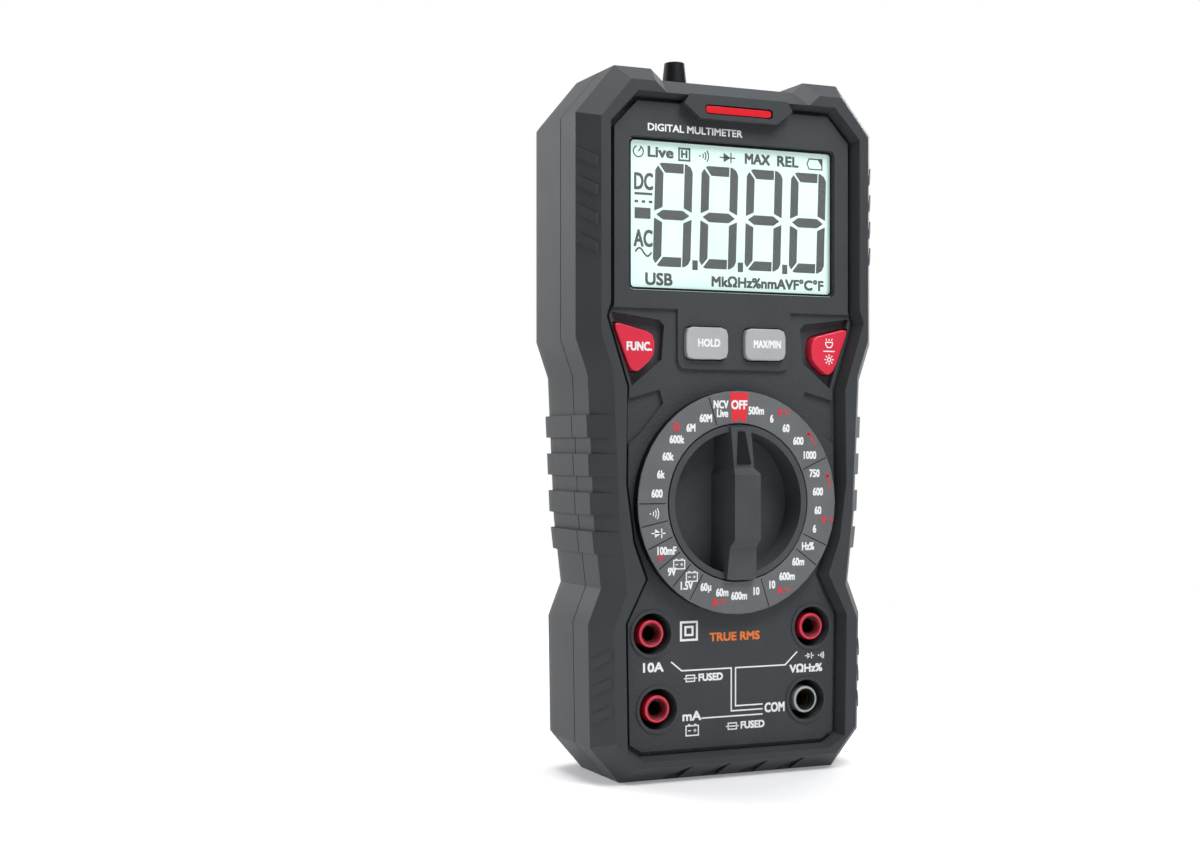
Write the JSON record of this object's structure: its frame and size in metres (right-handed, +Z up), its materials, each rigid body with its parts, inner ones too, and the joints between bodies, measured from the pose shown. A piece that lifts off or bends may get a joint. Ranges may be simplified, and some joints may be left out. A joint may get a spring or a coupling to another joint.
{
  "type": "handheld digital multimeter",
  "caption": "Handheld digital multimeter with a rubber-edged case, LCD window, rotary range selector, push buttons, shrouded test sockets, folding rear stand and hanging pad.",
  "frame": {"origin": "on the floor, under the middle of the meter standing upright on its foot", "axes": "+Z up along the case, the front panel faces -Y, +X to the reader's right"},
  "size_m": [0.0832, 0.0434, 0.181],
  "materials": {
    "panel_plastic": "fine spark-eroded grain",
    "bumper": "satin overmoulded elastomer",
    "case_plastic": "fine grain",
    "dial_plastic": "coarse grain with printed numerals",
    "knob_plastic": "satin",
    "red_plastic": "satin",
    "red_clear": "polished, translucent",
    "grey_plastic": "satin",
    "black_plastic": "satin",
    "white_plastic": "satin",
    "lens": "clear, polished",
    "display": "reflective display ground, mint",
    "contact_rubber": "conductive rubber",
    "contact_brass": "bright",
    "steel": "zinc plated",
    "board": "solder mask",
    "battery_wrap": "shrink wrap",
    "ceramic": "glazed ceramic"
  },
  "bodies": {
    "case": {"front_case": "panel_plastic", "front_bumper": "bumper", "rear_case": "bumper", "alarm_light_guide": "red_clear", "alarm_led": "white_plastic", "window_lens": "lens", "lcd_glass": "display", "lcd_frame": "black_plastic", "lcd_connector": "contact_rubber", "backlight": "white_plastic", "dial_plate": "dial_plastic", "keypad": "contact_rubber", "main_board": "board", "controller_chip": "black_plastic", "buzzer": "black_plastic", "shunt_wire": "contact_brass", "battery_contact_lower": "steel", "battery_contact_upper": "steel", "battery_tray": "black_plastic", "battery_door": "case_plastic", "door_screw": "steel", "stand_pin": "steel", "hanging_pad": "case_plastic", "torch_hood": "black_plastic", "torch_led": "lens", "amp_socket_sleeve": "red_plastic", "amp_socket_barrel": "contact_brass", "volt_socket_sleeve": "red_plastic", "volt_socket_barrel": "contact_brass", "milliamp_socket_sleeve": "red_plastic", "milliamp_socket_barrel": "contact_brass", "common_socket_sleeve": "grey_plastic", "common_socket_barrel": "contact_brass", "battery_1": "battery_wrap", "battery_2": "battery_wrap", "battery_3": "battery_wrap", "case_screw_1": "steel", "case_screw_2": "steel", "case_screw_3": "steel", "case_screw_4": "steel", "amp_fuse": "ceramic", "amp_fuse_clip_left": "contact_brass", "amp_fuse_clip_right": "contact_brass", "milliamp_fuse": "ceramic", "milliamp_fuse_clip_left": "contact_brass", "milliamp_fuse_clip_right": "contact_brass"},
    "knob": {"selector_knob": "knob_plastic", "knob_rotor": "white_plastic", "wiper_upper": "contact_brass", "wiper_lower": "contact_brass"},
    "stand": {"kickstand": "case_plastic"},
    "function_button": {"function_button": "red_plastic"},
    "light_button": {"light_button": "red_plastic"},
    "hold_button": {"hold_button": "grey_plastic"},
    "max_min_button": {"max_min_button": "grey_plastic"}
  },
  "joints": [
    {"name": "selector_turn", "type": "hinge", "parent": "case", "child": "knob", "pos_m": [0, -0.0171, 0.0682], "axis": [0, 1, 0], "continuous": true},
    {"name": "stand_swing", "type": "hinge", "parent": "case", "child": "stand", "pos_m": [0, 0.0191, 0.1064], "axis": [1, 0, 0], "range_deg": [0, 60]},
    {"name": "function_press", "type": "slide", "parent": "case", "child": "function_button", "axis": [0, 1, 0], "range_m": [0, 0.001], "stiffness_N_per_m": 500, "springref_m": -0.001},
    {"name": "light_press", "type": "slide", "parent": "case", "child": "light_button", "axis": [0, 1, 0], "range_m": [0, 0.001], "stiffness_N_per_m": 500, "springref_m": -0.001},
    {"name": "hold_press", "type": "slide", "parent": "case", "child": "hold_button", "axis": [0, 1, 0], "range_m": [0, 0.001], "stiffness_N_per_m": 500, "springref_m": -0.001},
    {"name": "max_min_press", "type": "slide", "parent": "case", "child": "max_min_button", "axis": [0, 1, 0], "range_m": [0, 0.001], "stiffness_N_per_m": 500, "springref_m": -0.001}
  ]
}
